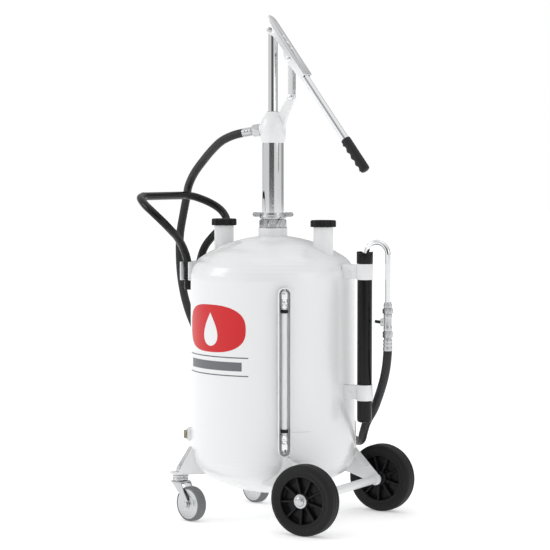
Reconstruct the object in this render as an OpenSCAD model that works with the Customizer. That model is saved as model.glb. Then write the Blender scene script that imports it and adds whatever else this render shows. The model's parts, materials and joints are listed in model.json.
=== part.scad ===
// Wheeled gear oil dispenser: a steel tank on two wheels and two casters, with a hand piston pump,
// a delivery hose and a hooked nozzle parked in its holder.
// Millimetres. The floor is z = 0 and the tank's axis is the Z axis. +X points to the big wheels (front),
// -X to the push handle (rear), +Y to the left and -Y to the right of a person who pushes the handle.

/* [Tank] */
// Outside diameter of the tank
tank_d = 384; // [360:1:400]
// Thickness of the tank's sheet
tank_wall = 2; // [1.5:0.5:3]
// Height of the lower end seam above the floor
seam_low = 155; // [150:1:160]
// Length of the straight part of the shell
shell_h = 406; // [380:1:420]
// Distance of each filler neck from the tank's axis
filler_offset = 134; // [120:1:140]
// Outside diameter of a filler neck
neck_d = 46; // [40:1:50]
// Height of the filler necks' rims above the floor
neck_top = 691.6; // [688:0.1:700]
// Diameter over a filler cap's lobes
cap_d = 60; // [54:1:66]

/* [Pump] */
// Outside diameter of the pump tube
pump_d = 50; // [48:1:52]
// Diameter of the piston rod
rod_d = 22; // [18:1:24]
// Height of the lever's pivot on the rod, rod drawn out
rod_pivot_z = 1135; // [1120:1:1140]
// Travel of the piston rod
stroke = 120; // [80:5:120]
// Angle of the parked lever below the horizontal
lever_drop = 53.5; // [50:0.5:56]
// Distance from the rod pivot to the link pivot on the lever
lever_arm = 85; // [80:1:90]
// Height of the link's lower pivot on the pump head
lug_z = 979; // [970:1:985]
// Distance from the rod pivot to the end of the grip
lever_len = 408; // [380:1:440]
// Diameter of the lever's tube
lever_tube_d = 17.5; // [16:0.5:18]

/* [Hose and nozzle] */
// Outside diameter of the hose
hose_d = 20; // [18:1:22]
// Height of the pump's outlet
outlet_z = 909; // [907:1:911]
// Distance of the parked nozzle valve from the tank's axis
gun_x = 301; // [298:1:304]
// Diameter of the nozzle tube
nozzle_d = 12; // [10:1:12]

/* [Nozzle holder] */
// Distance of the holder from the tank's axis
holder_x = 242; // [240:1:244]
// Outside diameter of the holder tube
holder_d = 34; // [34:1:35]
// Height of the holder's mouth
holder_top = 626; // [620:1:630]
// Height of the holder's closed end
holder_low = 236; // [230:1:240]

/* [Level gauge] */
// Direction of the gauge, turned from +X
gauge_dir = -52.5; // [-60:0.5:-45]
// Width of the gauge's guard
guard_w = 29; // [28:1:34]
// Height of the guard's lower end
guard_low = 168; // [166:1:172]
// Height of the guard's upper end
guard_top = 549; // [545:1:552]

/* [Handle] */
// Diameter of the handle's tube
handle_d = 19; // [16:1:19]

/* [Wheels] */
// Diameter of the big wheels
wheel_d = 160; // [150:1:160]
// Width of the big wheels
wheel_w = 40; // [34:1:40]
// Distance of the wheel axle from the tank's axis
axle_x = 192; // [188:1:196]
// Distance of the big wheels' middle from the centreline
wheel_y = 186.6; // [184:0.2:190]
// Diameter of the axle rod
axle_d = 16; // [12:1:16]

/* [Casters] */
// Diameter of the caster wheels
caster_d = 80; // [76:1:80]
// Distance of the caster stems behind the tank's axis
caster_x = 163; // [161:1:165]
// Distance of the caster stems from the centreline
caster_y = 147; // [145:1:149]
// Trail of the caster wheel behind its stem
caster_trail = 37; // [34:1:38]
// Turn of the right caster at rest
caster_turn_right = -15; // [-40:1:40]
// Turn of the left caster at rest
caster_turn_left = -18; // [-40:1:40]

/* [Hidden] */

$fn = 72;
enamel = [0.93, 0.93, 0.92];
black = [0.07, 0.07, 0.08];
zinc = [0.75, 0.76, 0.78];
chrome = [0.85, 0.86, 0.88];
brass = [0.72, 0.58, 0.30];
rubber = [0.10, 0.10, 0.11];
tread_grey = [0.55, 0.57, 0.60];
clear_tube = [0.85, 0.92, 0.94, 0.5];

slip = 0.05;             // radial gap of a running fit
apart = 0.4;             // gap between pieces that move past each other
right = -1;              // side of the pusher's right hand along Y
left = 1;                // side of the pusher's left hand along Y

// Dished ends: a crown of 0.8 tank diameters and a knuckle of 0.154 tank diameters
seam_top = seam_low + shell_h;
crown_r = 0.8 * tank_d;
knuckle_r = 0.154 * tank_d;
knuckle_c = tank_d / 2 - knuckle_r;
crown_c = -sqrt(pow(crown_r - knuckle_r, 2) - pow(knuckle_c, 2));
crown_edge = atan2(-crown_c, knuckle_c);
dome_top = seam_top + crown_c + crown_r;

// Pump
socket_bore_d = 60;
socket_d = 68;
socket_top = dome_top + 17;
bung_h = 21;
bung_hex = 63.5;
bung_bore = pump_d + 0.4;
wing_z = socket_top + bung_h + 1;
wing_dir = 30;
pump_bore = pump_d - 5;
head_z = 873;
head_top = 947;
pump_low = 560;
pump_high = head_z + 7;
head_r = 29.5;
piston_z = 800;
piston_h = 30;
pivot_pin_r = 4;
channel_in = 14.5;
channel_t = 2.5;
channel_out = channel_in + channel_t;
web_low = rod_d / 2 + 0.5;
lug_half = 4.2;
link_in = lug_half + apart;
link_out = link_in + channel_t;
link_r = 6.5;
lug_x = lever_arm * cos(lever_drop);
link_top_z = rod_pivot_z - lever_arm * sin(lever_drop);
link_len = link_top_z - lug_z;
grip_len = 90;
grip_d = 21;

// Foot of the suction tube
suction_d = 32;
suction_low = 92;
valve_low = 66;
ball_r = 8;
seat_r = 6;
seat_z = 78;
ball_z = seat_z + sqrt(pow(ball_r, 2) - pow(seat_r, 2)) + 0.3;

// Outlet and hose ends, measured along the outlet, which points down a little to the rear
outlet_drop = 8;
outlet_face = -32;
outlet_hex_end = -51;
gun_hose_z = 402;

// Nozzle: a hook from the valve, over the holder's rim and down inside it
nozzle_in_x = holder_x + 4;
hook_r = (gun_x - nozzle_in_x) / 2;
hook_z = 620;
nozzle_end_z = 480;

// Gauge, measured out from the tank's axis
guard_base = tank_d / 2 + 5;
gauge_r = tank_d / 2 + 16;
gauge_top_z = 531;
gauge_low_z = 189;
stub_r = 5.5;

// Undercarriage
axle_z = wheel_d / 2;
caster_r = caster_d / 2;
caster_far = norm([caster_x, caster_y]);
caster_dir = atan2(caster_y, caster_x);
plate_z = 106;

// Handle: a loop that falls from the push bar to the tank and ends in two upright stubs
stub_x = -219;
stub_y = 25;
bar_x_pos = -303;
bar_z = 748;
bar_half = 82;
handle_half = [
    [bar_x_pos, bar_half - 3, bar_z], [bar_x_pos, bar_half + 6, bar_z], [-291, 119, 744], [-262, 143, 729], [-235, 149, 711],
    [-214, 139, 689], [-211, 112, 670], [-214, 80, 652], [-218, 50, 628], [-219, 32, 602],
    [stub_x, stub_y, 575], [stub_x, stub_y, 526],
];

// The hose's route: out of the pump, over the push bar's left end, round the tank's left side and up
// to the nozzle valve
hose_route = [
    [-80, 0, 898], [-110, 3, 892], [-146, 12, 880], [-184, 32, 861], [-228, 60, 835],
    [-270, 84, 804], [-304, 110, 773], [-324, 130, 742], [-338, 137, 700], [-347, 137, 655],
    [-350, 138, 610], [-350, 142, 560], [-351, 152, 523], [-352, 168, 484], [-350, 190, 440],
    [-338, 216, 385], [-312, 240, 325], [-268, 260, 268], [-205, 275, 222], [-130, 282, 195],
    [-45, 278, 178], [35, 260, 167], [92, 224, 161], [132, 181, 163], [163, 138, 176],
    [187, 100, 196], [209, 75, 226], [240, 50, 260], [263, 31, 295], [282, 15, 329],
    [293, 6, 357], [299, 1, 382], [gun_x, 0, gun_hose_z],
];

// A smooth curve through a list of points, with n steps between each pair
function point_on(p, i, t) =
    let(a = p[max(i - 1, 0)], b = p[i], c = p[i + 1], d = p[min(i + 2, len(p) - 1)])
    0.5 * (2 * b + (c - a) * t + (2 * a - 5 * b + 4 * c - d) * t * t + (3 * b - a - 3 * c + d) * t * t * t);
function smooth(p, n) = concat(
    [for (i = [0:len(p) - 2], k = [0:n - 1]) point_on(p, i, k / n)],
    [p[len(p) - 1]]
);
function unit(v) = v / norm(v);
function heading(p, i) = unit(p[min(i + 1, len(p) - 1)] - p[max(i - 1, 0)]);

// The ring frames of a swept tube: each ring's side vector is the last one's, turned with the path
function carried(side, h) = unit(side - h * (side * h));
function sides(p, i, side) =
    i == len(p) ? [] :
    let(s = carried(side, heading(p, i))) concat([s], sides(p, i + 1, s));

// A round tube of radius r along the points p, with n flat sides
module swept(p, r, n, first_side) {
    frames = sides(p, 0, first_side);
    rings = [for (i = [0:len(p) - 1], k = [0:n - 1])
        let(s = frames[i], b = cross(heading(p, i), s), a = 360 * k / n)
        p[i] + r * (cos(a) * s + sin(a) * b)];
    walls = [for (i = [0:len(p) - 2], k = [0:n - 1])
        let(m = (k + 1) % n) each [
            [i * n + k, (i + 1) * n + k, i * n + m],
            [i * n + m, (i + 1) * n + k, (i + 1) * n + m]
        ]];
    start = [[for (k = [0:n - 1]) k]];
    last = (len(p) - 1) * n;
    end = [[for (k = [n - 1:-1:0]) last + k]];
    polyhedron(rings, concat(walls, start, end));
}

// Half the outline of the tank, drawn in by t, from the top of its upper end to the foot of the lower
function dished(t) = concat(
    [for (i = [0:8]) let(a = 90 - (90 - crown_edge) * i / 8)
        [(crown_r - t) * cos(a), crown_c + (crown_r - t) * sin(a)]],
    [for (i = [1:6]) let(a = crown_edge * (1 - i / 6))
        [knuckle_c + (knuckle_r - t) * cos(a), (knuckle_r - t) * sin(a)]]
);
function tank_outline(t) =
    let(half = dished(t), n = len(half) - 1) concat(
        [for (q = half) [q[0], seam_top + q[1]]],
        [for (i = [n:-1:0]) [half[i][0], seam_low - half[i][1]]]
    );
module tank_solid(t = 0) {
    rotate_extrude($fn = 144) polygon(tank_outline(t));
}

// A bar of radius r along X, from x0 to x1, and one along Y
module bar_x(r, x0, x1) {
    translate([x0, 0, 0]) rotate([0, 90, 0]) cylinder(r = r, h = x1 - x0);
}
module bar_y(r, y0, y1) {
    translate([0, y1, 0]) rotate([90, 0, 0]) cylinder(r = r, h = y1 - y0);
}
// A ring of outer radius r and bore b, from z0 to z1
module ring(r, b, z0, z1) {
    translate([0, 0, z0]) difference() {
        cylinder(r = r, h = z1 - z0);
        translate([0, 0, -1]) cylinder(r = b, h = z1 - z0 + 2);
    }
}
// A six-sided nut, w across its corners
module hex_nut(w, b, z0, z1) {
    translate([0, 0, z0]) difference() {
        cylinder(d = w, h = z1 - z0, $fn = 6);
        translate([0, 0, -1]) cylinder(r = b, h = z1 - z0 + 2);
    }
}
// A flat plate in the XZ plane from its 2D shape, from y0 to y1
module plate_y(y0, y1) {
    translate([0, y1, 0]) rotate([90, 0, 0]) linear_extrude(y1 - y0) children();
}
// Both sides of the centreline
module both_sides() {
    children();
    mirror([0, 1, 0]) children();
}

// ---------------------------------------------------------------- tank
module tank_shell() {
    color(enamel) difference() {
        tank_solid();
        tank_solid(tank_wall);
        translate([0, 0, seam_top]) cylinder(d = socket_bore_d, h = 150);
        for (s = [-1, 1]) translate([s * filler_offset, 0, seam_top]) cylinder(r = neck_d / 2 - 4, h = 150);
    }
}

module pump_socket() {
    color(enamel) difference() {
        ring(socket_d / 2, socket_bore_d / 2, dome_top - 5, socket_top);
        tank_solid();
    }
}

module filler_neck(side) {
    color(enamel) difference() {
        translate([side * filler_offset, 0, 0]) ring(neck_d / 2, neck_d / 2 - 4, seam_top + 40, neck_top);
        tank_solid();
    }
}

module filler_cap(side) {
    lobe_gap = 4;
    skirt_low = neck_top - 11.6;
    color(black) translate([side * filler_offset, 0, 0]) difference() {
        translate([0, 0, skirt_low]) cylinder(d = cap_d, h = 16);
        translate([0, 0, skirt_low - 1]) cylinder(r = neck_d / 2 + slip, h = 13);
        for (i = [0:9]) rotate([0, 0, 36 * i]) translate([cap_d / 2 + 2, 0, skirt_low - 1])
            cylinder(r = lobe_gap, h = 18, $fn = 24);
    }
}

module drain_boss() {
    boss_r = 17;
    color(enamel) difference() {
        rotate([0, 0, 210]) translate([0, 0, 192]) difference() {
            bar_x(boss_r, tank_d / 2 - 8, tank_d / 2 + 8);
            bar_x(10, tank_d / 2 - 9, tank_d / 2 + 9);
        }
        tank_solid();
    }
}

module drain_plug() {
    color(brass) difference() {
        rotate([0, 0, 210]) translate([0, 0, 192]) {
            bar_x(10, tank_d / 2 - 8, tank_d / 2 + 8);
            bar_x(13, tank_d / 2 + 8, tank_d / 2 + 10);
            translate([tank_d / 2 + 10, 0, 0]) rotate([0, 90, 0]) cylinder(d = 22, h = 7, $fn = 6);
        }
        tank_solid();
    }
}

// ---------------------------------------------------------------- pump
module bung_nut() {
    color(zinc) difference() {
        union() {
            translate([0, 0, socket_top]) cylinder(d = bung_hex, h = bung_h, $fn = 6);
            translate([0, 0, dome_top - 8]) cylinder(r = socket_bore_d / 2 - slip, h = 30);
        }
        translate([0, 0, dome_top - 9]) cylinder(d = bung_bore, h = 60);
    }
}

module wing_ring() {
    wing_len = 48;
    color(zinc) difference() {
        union() {
            translate([0, 0, wing_z]) cylinder(r = 31, h = 8);
            translate([0, 0, wing_z + 8]) cylinder(r = 28.5, h = 6);
            for (s = [0, 180]) rotate([0, 0, wing_dir + s]) translate([27, -3, wing_z + 4])
                cube([wing_len - 27, 6, 11]);
        }
        translate([0, 0, wing_z - 1]) cylinder(d = bung_bore, h = 20);
        for (s = [0, 180]) rotate([0, 0, wing_dir + s]) translate([wing_len - 7, 0, wing_z + 9.5])
            bar_y(2.5, -5, 5);
    }
}

module pump_tube() {
    color(chrome) ring(pump_d / 2, pump_bore / 2, pump_low, pump_high);
}

// The outlet's own axes: X along the outlet, pointing forwards
module on_outlet() {
    translate([0, 0, outlet_z]) rotate([0, -outlet_drop, 0]) children();
}

module pump_head() {
    throat_r = 13;
    chamber_r = 16;
    color(enamel) difference() {
        union() {
            rotate_extrude() polygon([
                [0, head_z], [head_r - 2.5, head_z], [head_r, head_z + 19], [head_r, head_z + 42],
                [24, 930], [14.5, 944], [13.8, head_top], [0, head_top]
            ]);
            on_outlet() bar_x(14, outlet_face, 0);
            plate_y(-lug_half, lug_half) {
                polygon([[8, 930], [14, 946], [lug_x - 8, lug_z + 5], [lug_x + 8.5, lug_z - 4], [29, 905], [15, 900]]);
                translate([lug_x, lug_z]) circle(r = 9);
            }
        }
        translate([0, 0, head_z - 1]) cylinder(r = pump_d / 2 + slip, h = pump_high - head_z + 1);
        translate([0, 0, pump_high - 1]) cylinder(r = chamber_r, h = 36);
        translate([0, 0, head_z]) cylinder(r = throat_r, h = 80);
        on_outlet() bar_x(6, outlet_face - 1, 0);
        translate([lug_x, 0, lug_z]) bar_y(pivot_pin_r + slip, -lug_half - 1, lug_half + 1);
    }
}

module rod_bush() {
    color(brass) ring(13, rod_d / 2 + slip, pump_high + 37, head_top);
}

module suction_tube() {
    bore = suction_d / 2 - 2.5;
    color(zinc) difference() {
        union() {
            translate([0, 0, suction_low]) cylinder(d = suction_d, h = pump_low - suction_low + 1);
            translate([0, 0, pump_low]) cylinder(r = pump_bore / 2, h = 15);
        }
        translate([0, 0, suction_low - 1]) cylinder(r = bore, h = 500);
    }
}

module foot_valve() {
    color(brass) difference() {
        translate([0, 0, valve_low]) cylinder(r = 21, h = 38);
        translate([0, 0, suction_low]) cylinder(d = suction_d, h = 20);
        translate([0, 0, seat_z]) cylinder(r = 12, h = 20);
        translate([0, 0, valve_low - 1]) cylinder(r = seat_r, h = 20);
    }
}

module valve_ball() {
    color(zinc) translate([0, 0, ball_z]) sphere(r = ball_r);
}

module piston_rod() {
    color(chrome) difference() {
        union() {
            translate([0, 0, piston_z]) cylinder(d = rod_d, h = rod_pivot_z - piston_z);
            translate([0, 0, rod_pivot_z]) sphere(d = rod_d);
        }
        translate([0, 0, rod_pivot_z]) bar_y(pivot_pin_r, -rod_d, rod_d);
    }
}

module piston() {
    groove_r = pump_bore / 2 - 3;
    color(brass) difference() {
        ring(pump_bore / 2 - 0.1, rod_d / 2, piston_z, piston_z + piston_h);
        for (z = [7, 19]) ring(pump_bore, groove_r, piston_z + z, piston_z + z + 4);
    }
}

module rod_pin() {
    color(zinc) translate([0, 0, rod_pivot_z]) {
        bar_y(pivot_pin_r, -channel_out - apart, channel_out + apart);
        both_sides() bar_y(6.5, channel_out + apart, channel_out + 3);
    }
}

// The lever's own axes: X along the lever from the rod pivot, Z square to it on its upper side
module on_lever() {
    translate([0, 0, rod_pivot_z]) rotate([0, lever_drop, 0]) children();
}

module lever_channel() {
    front = 141;
    back = 16;
    web_top = web_low + channel_t;
    color(zinc) on_lever() difference() {
        union() {
            translate([0, 0, web_low]) linear_extrude(channel_t) {
                translate([-back, -channel_out]) square([front + back, 2 * channel_out]);
                translate([-back, 0]) circle(r = channel_out);
            }
            both_sides() plate_y(channel_in, channel_out) polygon([
                [-back, web_low + 1], [-14, 2], [-8, -7], [8, -7], [20, 0], [62, 0], [lever_arm - 11, -7],
                [lever_arm + 13, -7], [front, -4], [front, web_top], [-back, web_top]
            ]);
            translate([lever_arm, 0, 0]) both_sides() {
                bar_y(pivot_pin_r, link_out + apart, channel_out);
                bar_y(6.5, channel_out, channel_out + 2.5);
            }
        }
        bar_y(pivot_pin_r + slip, -channel_out - 1, channel_out + 1);
        for (i = [0:2]) translate([29 + 17.5 * i, 0, 0]) cylinder(r = 3.2, h = 40);
    }
}

module lever_tube() {
    color(zinc) on_lever() translate([0, 0, web_low - lever_tube_d / 2]) difference() {
        bar_x(lever_tube_d / 2, 116, lever_len - 8);
        bar_x(lever_tube_d / 2 - 2, 115, lever_len - 7);
    }
}

module lever_grip() {
    start = lever_len - grip_len;
    color(rubber) on_lever() translate([start, 0, web_low - lever_tube_d / 2]) rotate([0, 90, 0])
        difference() {
            rotate_extrude() polygon([
                [0, 0], [grip_d / 2 - 1, 0], [grip_d / 2, 3], [grip_d / 2, grip_len - 6],
                [grip_d / 2 - 3, grip_len - 1], [grip_d / 2 - 5, grip_len], [0, grip_len]
            ]);
            translate([0, 0, -1]) cylinder(r = lever_tube_d / 2, h = grip_len - 8 + 1);
        }
}

// The link: two cheeks joined by a web on the front side, between the lever's cheeks
module link() {
    color(zinc) difference() {
        union() {
            both_sides() plate_y(link_in, link_out) {
                translate([lug_x, lug_z]) circle(r = link_r);
                translate([lug_x, link_top_z]) circle(r = link_r);
                translate([lug_x - link_r, lug_z]) square([2 * link_r, link_len]);
            }
            plate_y(-link_out, link_out) translate([lug_x + link_r - channel_t, lug_z + 15])
                square([channel_t, link_len - 30]);
        }
        for (z = [lug_z, link_top_z]) translate([lug_x, 0, z]) bar_y(pivot_pin_r, -20, 20);
        translate([0, 0, lug_z + 49]) bar_x(2.5, lug_x, lug_x + 20);
    }
}

module link_pins() {
    color(zinc) {
        translate([lug_x, 0, lug_z]) {
            bar_y(pivot_pin_r, -link_out, link_out);
            both_sides() bar_y(6.5, link_out, link_out + 2.5);
        }
        translate([lug_x, 0, link_top_z]) bar_y(pivot_pin_r, -link_out, link_out);
    }
}

// ---------------------------------------------------------------- hose and nozzle
module outlet_hex() {
    color(zinc) on_outlet() difference() {
        translate([outlet_hex_end, 0, 0]) rotate([0, 90, 0])
            cylinder(d = 32, h = outlet_face - outlet_hex_end, $fn = 6);
        bar_x(6, outlet_hex_end - 1, outlet_face + 1);
    }
}

module ferrule() {
    difference() {
        rotate_extrude() polygon([[0, 0], [8.5, 0], [8.5, 4], [10.6, 5], [10.6, 28], [9.8, 30], [0, 30]]);
        translate([0, 0, -1]) cylinder(r = 5, h = 28);
    }
}

module hose_ferrule_pump() {
    color(zinc) on_outlet() translate([outlet_hex_end, 0, 0]) rotate([0, -90, 0]) ferrule();
}

module hose() {
    color(rubber) swept(smooth(hose_route, 1), hose_d / 2, 12, [0, 1, 0]);
}

module hose_ferrule_gun() {
    color(zinc) translate([gun_x, 0, gun_hose_z + 30]) rotate([180, 0, 0]) ferrule();
}

module gun_nut() {
    color(zinc) translate([gun_x, 0, 0]) hex_nut(23, 5, gun_hose_z + 30, 447);
}

module gun_body() {
    ear = 6.5;
    slot = 4.2;
    pivot = [289, 467];
    color(zinc) {
        difference() {
            union() {
                translate([gun_x, 0, 447]) cylinder(r = 9.5, h = 39);
                translate([pivot[0] - 5, -ear, 458]) cube([gun_x - pivot[0] + 5, 2 * ear, 18]);
            }
            translate([gun_x, 0, 446]) cylinder(r = 4, h = 41);
            translate([pivot[0] - 6, -slot, 457]) cube([11, 2 * slot, 20]);
        }
        translate([pivot[0], 0, pivot[1]]) bar_y(2, -ear, ear);
    }
}

module gun_trigger() {
    pivot = [289, 467];
    color(black) difference() {
        union() {
            translate([pivot[0], 0, pivot[1]]) bar_y(4.5, -3.8, 3.8);
            plate_y(-3.3, 3.3) polygon([[290, 470.5], [290, 463.5], [274, 463.5], [269, 466], [269, 470], [274, 470.5]]);
        }
        translate([pivot[0], 0, pivot[1]]) bar_y(2 + slip, -6, 6);
    }
}

module nozzle_nut() {
    color(zinc) translate([gun_x, 0, 0]) {
        hex_nut(24, 4, 486, 499);
        ring(8.5, nozzle_d / 2, 499, 511);
    }
}

module nozzle_tube() {
    r = nozzle_d / 2;
    color(chrome) difference() {
        union() {
            translate([gun_x, 0, 499]) cylinder(r = r, h = hook_z - 499);
            translate([nozzle_in_x, 0, nozzle_end_z]) cylinder(r = r, h = hook_z - nozzle_end_z);
            translate([gun_x - hook_r, 0, hook_z]) rotate([90, 0, 0])
                rotate_extrude(angle = 180) translate([hook_r, 0]) circle(r = r, $fn = 32);
        }
        translate([nozzle_in_x, 0, nozzle_end_z - 1]) cylinder(r = r - 1.5, h = 40);
    }
}

// ---------------------------------------------------------------- holder
module holder_tube() {
    r = holder_d / 2;
    color(black) translate([holder_x, 0, 0]) difference() {
        rotate_extrude() polygon([
            [0, holder_low], [r - 5, holder_low], [r - 1.5, holder_low + 2], [r, holder_low + 6],
            [r, holder_top - 3], [0, holder_top - 3]
        ]);
        translate([0, 0, holder_low + 4]) cylinder(r = r - 2, h = 400);
    }
}

module holder_cap() {
    r = holder_d / 2;
    low = holder_top - 27;
    color(black) translate([holder_x, 0, 0]) difference() {
        ring(r + 1.6, r, low, holder_top);
        translate([0, 0, holder_top - 14]) rotate([0, -45, 0]) translate([0, -30, 0]) cube([40, 60, 40]);
    }
}

module holder_bands() {
    r = holder_d / 2;
    color(enamel) difference() {
        for (z = [562, 286]) {
            translate([holder_x, 0, 0]) ring(r + 1.6, r, z, z + 36);
            difference() {
                translate([tank_d / 2 - 5, -9, z + 2]) cube([holder_x - tank_d / 2 - 10, 18, 32]);
                translate([holder_x, 0, z - 1]) cylinder(r = r + 0.8, h = 40);
            }
        }
        tank_solid();
    }
}

// ---------------------------------------------------------------- gauge
module on_gauge() {
    rotate([0, 0, gauge_dir]) children();
}
module stadium(w, z0, z1) {
    r = w / 2;
    translate([0, z0 + r]) circle(r = r);
    translate([0, z1 - r]) circle(r = r);
    translate([-r, z0 + r]) square([w, z1 - z0 - w]);
}
module along_x(x0, x1) {
    translate([x0, 0, 0]) rotate([90, 0, 90]) linear_extrude(x1 - x0) children();
}

module gauge_guard() {
    lip = 19;
    color(enamel) on_gauge() difference() {
        along_x(guard_base, guard_base + lip) stadium(guard_w, guard_low, guard_top);
        along_x(guard_base + 2, guard_base + lip + 1) stadium(guard_w - 4, guard_low + 2, guard_top - 2);
        for (z = [gauge_low_z, gauge_top_z]) translate([0, 0, z]) bar_x(stub_r, guard_base - 1, guard_base + 3);
    }
}

module gauge_tube() {
    color(clear_tube) on_gauge() translate([gauge_r, 0, 0]) ring(6.5, 5, 219, 503);
}

module gauge_fittings() {
    color(chrome) on_gauge() difference() {
        union() {
            translate([gauge_r, 0, 503]) rotate([0, 0, 30]) cylinder(d = 20, h = 22, $fn = 6);
            translate([gauge_r, 0, 524]) cylinder(r = 8.5, h = 14);
            translate([gauge_r, 0, 538]) cylinder(r1 = 8.5, r2 = 4, h = 6);
            translate([gauge_r, 0, 197]) rotate([0, 0, 30]) cylinder(d = 20, h = 22, $fn = 6);
            translate([gauge_r, 0, 180]) cylinder(r = 8.5, h = 18);
            translate([gauge_r, 0, 174]) cylinder(r1 = 5, r2 = 8.5, h = 6);
            for (z = [gauge_low_z, gauge_top_z]) translate([0, 0, z]) bar_x(stub_r, tank_d / 2, gauge_r);
        }
        for (z = [gauge_low_z, gauge_top_z]) translate([0, 0, z]) bar_x(2.5, tank_d / 2 - 1, gauge_r);
    }
}

// ---------------------------------------------------------------- handle
module handle_tube() {
    color(black) {
        translate([bar_x_pos, 0, bar_z]) bar_y(handle_d / 2, -bar_half, bar_half);
        both_sides() swept(smooth(handle_half, 3), handle_d / 2 - 0.05, 12, [1, 0, 0]);
    }
}

module handle_bracket() {
    half_w = 42;
    z0 = 549;
    z1 = 593;
    t = 4;
    front = stub_x + handle_d / 2;
    color(enamel) difference() {
        union() {
            translate([front, -half_w, z0]) cube([t, 2 * half_w, z1 - z0]);
            translate([front + t - 1, -28, z0 + 6]) cube([40, 56, z1 - z0 - 12]);
            translate([stub_x - handle_d / 2 - t, -half_w, z0]) cube([t, 2 * half_w, z1 - z0]);
        }
        tank_solid();
        for (z = [560, 582]) translate([0, 0, z]) bar_x(4, stub_x - 20, front + t + 6);
    }
}

module handle_bolts() {
    front = stub_x + handle_d / 2;
    strap = stub_x - handle_d / 2 - 4;
    color(zinc) for (z = [560, 582]) translate([0, 0, z]) {
        bar_x(4, strap, front + 10);
        translate([strap - 5, 0, 0]) rotate([0, 90, 0]) cylinder(d = 15, h = 5, $fn = 6);
    }
}

// ---------------------------------------------------------------- casters
module toward_caster(side) {
    rotate([0, 0, 180 - side * caster_dir]) children();
}

module caster_bracket(side) {
    half_w = 22;
    t = 3;
    tip = caster_far + 25;
    color(enamel) difference() {
        toward_caster(side) {
            difference() {
                union() {
                    translate([0, 0, plate_z]) linear_extrude(4) {
                        translate([140, -half_w]) square([tip - 140 - half_w, 2 * half_w]);
                        translate([tip - half_w, 0]) circle(r = half_w);
                    }
                    both_sides() plate_y(half_w - t, half_w)
                        polygon([[150, plate_z + 3], [tip - 18, plate_z + 3], [tip - 18, 116], [196, 166], [150, 166]]);
                }
                translate([caster_far, 0, plate_z - 1]) cylinder(r = 6, h = 10);
            }
        }
        tank_solid();
    }
}

module caster_stems() {
    color(zinc) for (side = [right, left]) toward_caster(side) translate([caster_far, 0, 0]) {
        translate([0, 0, 82]) cylinder(r = 9, h = 3.6);
        translate([0, 0, 85.6]) cylinder(r = 6, h = 38);
        hex_nut(20, 6, plate_z + 4, plate_z + 13);
    }
}

// A caster's own axes: the stem is Z, and the wheel trails along +X
module on_caster(side, turn) {
    translate([-caster_x, side * caster_y, 0]) rotate([0, 0, turn]) children();
}

module caster_fork(side, turn) {
    cheek_in = 14;
    cheek_out = 16.5;
    crown_z = 86;
    color(zinc) on_caster(side, turn) {
        difference() {
            union() {
                both_sides() plate_y(cheek_in, cheek_out) {
                    polygon([[-15, crown_z + 3], [18, crown_z + 3], [caster_trail + 9, caster_r], [caster_trail - 9, caster_r]]);
                    translate([caster_trail, caster_r]) circle(r = 9);
                }
                translate([-17, -cheek_out, crown_z]) cube([36, 2 * cheek_out, 4]);
                translate([0, 0, crown_z + 4]) cylinder(r = 18.5, h = plate_z - crown_z - 4 - apart);
            }
            translate([0, 0, crown_z - 1]) cylinder(r = 6 + slip, h = 30);
            translate([caster_trail, 0, caster_r]) bar_y(4, -20, 20);
        }
        translate([caster_trail, 0, caster_r]) {
            bar_y(4, -cheek_out, cheek_out);
            both_sides() bar_y(7, cheek_out, cheek_out + 4);
        }
    }
}

module caster_hub(side, turn) {
    r = caster_r;
    color(zinc) on_caster(side, turn) translate([caster_trail, 0, r]) rotate([90, 0, 0]) difference() {
        rotate_extrude() polygon([
            [0, -13], [9, -13], [10, -11], [r - 12, -9.5], [r - 10, -8.5], [r - 10, 8.5], [r - 12, 9.5],
            [10, 11], [9, 13], [0, 13]
        ]);
        translate([0, 0, -20]) cylinder(r = 4 + slip, h = 40);
    }
}

module caster_tyre(side, turn) {
    r = caster_r;
    color(tread_grey) on_caster(side, turn) translate([caster_trail, 0, r]) rotate([90, 0, 0])
        rotate_extrude() polygon([
            [r - 10, -8.5], [r - 9, -11.5], [r - 5, -12.5], [r - 1.5, -10.5], [r, -7], [r, 7],
            [r - 1.5, 10.5], [r - 5, 12.5], [r - 9, 11.5], [r - 10, 8.5]
        ]);
}

// ---------------------------------------------------------------- wheels and axle
// One plate with the axle's eye, its turned-in edge and the pad that lies on the tank
module axle_bracket(side) {
    plate_in = 150;
    plate_out = 154;
    pad_low = seam_low + 2;
    color(enamel) mirror([0, side == right ? 1 : 0, 0]) difference() {
        union() {
            plate_y(plate_in, plate_out) {
                polygon([[60, 100], [100, 172], [124, 168], [axle_x + 11, 88], [axle_x + 5, 68], [120, 92]]);
                translate([axle_x, axle_z]) circle(r = 14);
            }
            plate_y(126, plate_out) polygon([[110, 172], [124, 168], [176, 114], [173, 111], [121, 163], [110, 167]]);
            translate([0, 0, pad_low]) linear_extrude(64) intersection() {
                difference() {
                    circle(d = tank_d + 7, $fn = 144);
                    circle(d = tank_d, $fn = 144);
                }
                polygon([[0, 0], [240, 156], [192, 219]]);
            }
        }
        tank_solid();
        translate([axle_x, 0, axle_z]) bar_y(10, 100, 200);
    }
}

module axle_tube() {
    half = 160;
    color(enamel) translate([axle_x, 0, axle_z]) difference() {
        bar_y(10, -half, half);
        bar_y(axle_d / 2, -half - 1, half + 1);
    }
}

module axle_rod() {
    color(zinc) translate([axle_x, 0, axle_z]) bar_y(axle_d / 2, -wheel_y - 26.4, wheel_y + 26.4);
}

module axle_caps() {
    inner = wheel_y + wheel_w / 2 + 1.4;
    color(zinc) translate([axle_x, 0, axle_z]) both_sides() difference() {
        union() {
            bar_y(12.5, inner, inner + 2);
            bar_y(10, inner + 2, inner + 7);
        }
        bar_y(axle_d / 2, inner - 1, wheel_y + 26.4);
    }
}

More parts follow.
